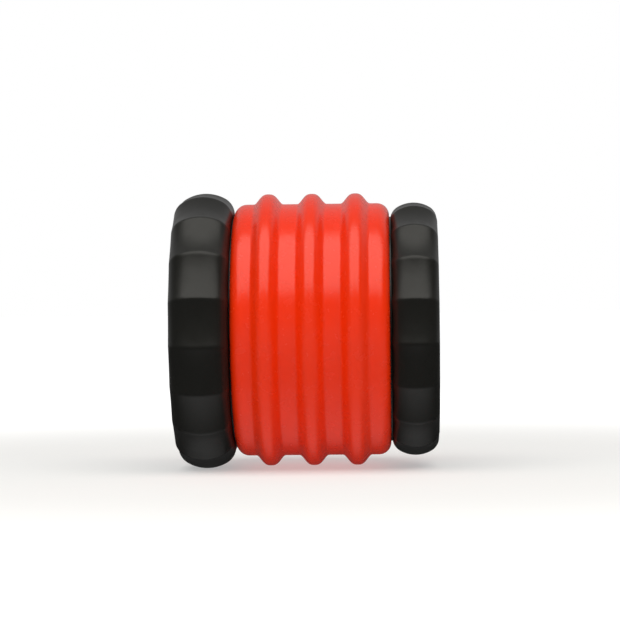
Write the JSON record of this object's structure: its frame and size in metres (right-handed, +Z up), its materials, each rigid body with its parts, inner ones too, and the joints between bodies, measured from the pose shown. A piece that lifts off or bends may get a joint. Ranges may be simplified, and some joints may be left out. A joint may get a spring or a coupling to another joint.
{
  "type": "barrel diabolo",
  "caption": "Spinning prop: a ribbed red rubber barrel turns on ball bearings between a large and a small scalloped black rim on one axle.",
  "frame": {"origin": "centre of the bounding box, on the spin axis", "axes": "+X along the spin axis from the large rim towards the small rim, +Z up, -Y towards the viewer"},
  "size_m": [0.0958, 0.101, 0.1014],
  "materials": {
    "black_rubber": "matt with a faint sheen",
    "black_plastic": "fine moulded texture",
    "red_rubber": "satin",
    "grey_plastic": "moulded",
    "zinc_steel": "zinc plated",
    "bright_steel": "ground and polished",
    "aluminium": "turned",
    "brass": "stamped"
  },
  "bodies": {
    "spindle": {"axle": "bright_steel", "bearing_spacer": "aluminium", "large_side_collar": "aluminium", "small_side_collar": "aluminium", "large_side_washer": "zinc_steel", "small_side_washer": "zinc_steel", "large_side_nut": "zinc_steel", "small_side_nut": "zinc_steel", "large_side_inner_race": "bright_steel", "small_side_inner_race": "bright_steel", "large_cup_disc": "black_plastic", "small_cup_disc": "black_plastic", "large_rim": "black_rubber", "small_rim": "black_rubber"},
    "drum": {"ribbed_sleeve": "red_rubber", "large_side_drum_half": "grey_plastic", "small_side_drum_half": "grey_plastic", "drum_screws": "zinc_steel", "large_side_outer_race": "bright_steel", "small_side_outer_race": "bright_steel", "large_side_shields": "zinc_steel", "small_side_shields": "zinc_steel"},
    "large_side_ball_set": {"large_side_balls": "bright_steel", "large_side_ball_cage": "brass"},
    "small_side_ball_set": {"small_side_balls": "bright_steel", "small_side_ball_cage": "brass"}
  },
  "joints": [
    {"name": "drum_spin", "type": "hinge", "parent": "spindle", "child": "drum", "pos_m": [0, 0, 0], "axis": [1, 0, 0], "continuous": true},
    {"name": "large_side_ball_orbit", "type": "hinge", "parent": "spindle", "child": "large_side_ball_set", "pos_m": [0, 0, 0], "axis": [1, 0, 0], "continuous": true},
    {"name": "small_side_ball_orbit", "type": "hinge", "parent": "spindle", "child": "small_side_ball_set", "pos_m": [0, 0, 0], "axis": [1, 0, 0], "continuous": true}
  ],
  "couplings": [
    {"joint": "large_side_ball_orbit", "follows": "drum_spin", "ratio": 0.6323},
    {"joint": "small_side_ball_orbit", "follows": "drum_spin", "ratio": 0.6323}
  ]
}
